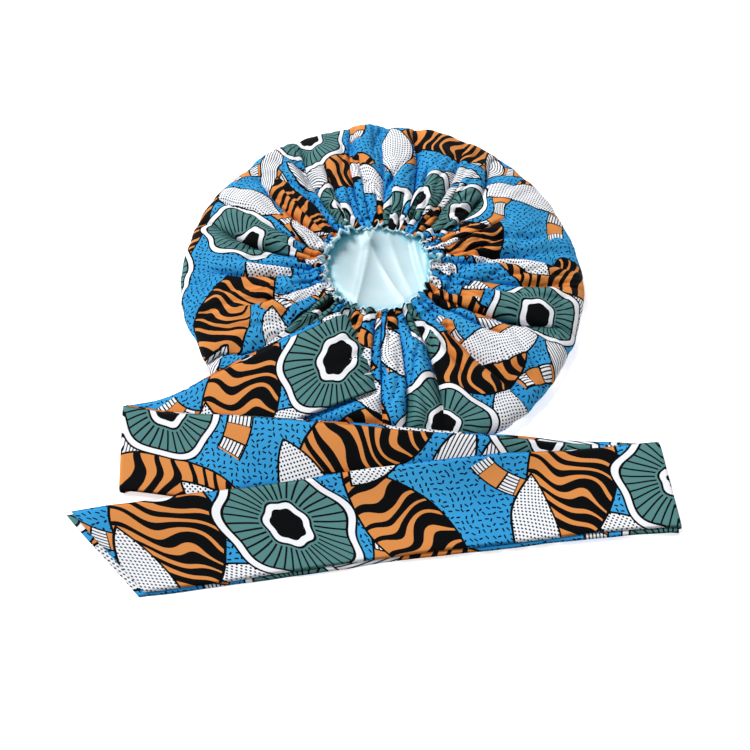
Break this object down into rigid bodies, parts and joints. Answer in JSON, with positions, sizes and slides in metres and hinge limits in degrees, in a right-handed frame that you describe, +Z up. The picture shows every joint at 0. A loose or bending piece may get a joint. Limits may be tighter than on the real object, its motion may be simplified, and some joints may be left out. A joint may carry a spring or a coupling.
{
  "type": "sleep bonnet",
  "caption": "Round gathered sleep bonnet in printed cotton with satin lining, lying flat on its crown, elastic opening up, with a long tie strap folded in a zigzag.",
  "frame": {"origin": "on the surface that the bonnet lies on, under the middle of its flat crown", "axes": "+Z up, out of the opening; -Y towards the front, where the tie strap lies; +X to the right"},
  "size_m": [0.5074, 0.5215, 0.0396],
  "materials": {
    "print_cotton": "plain-woven printed cotton, bright blue ground with orange, teal, black and white patches",
    "lining_satin": "pale aqua satin, soft sheen",
    "casing_cotton": "the same printed cotton, tightly gathered on elastic",
    "tie_cotton": "the same printed cotton, two plies pressed flat"
  },
  "bodies": {
    "root": {"outer_shell": "print_cotton", "satin_lining": "lining_satin", "elastic_casing": "casing_cotton", "tie_upper": "tie_cotton", "tie_lower": "tie_cotton"}
  },
  "joints": []
}
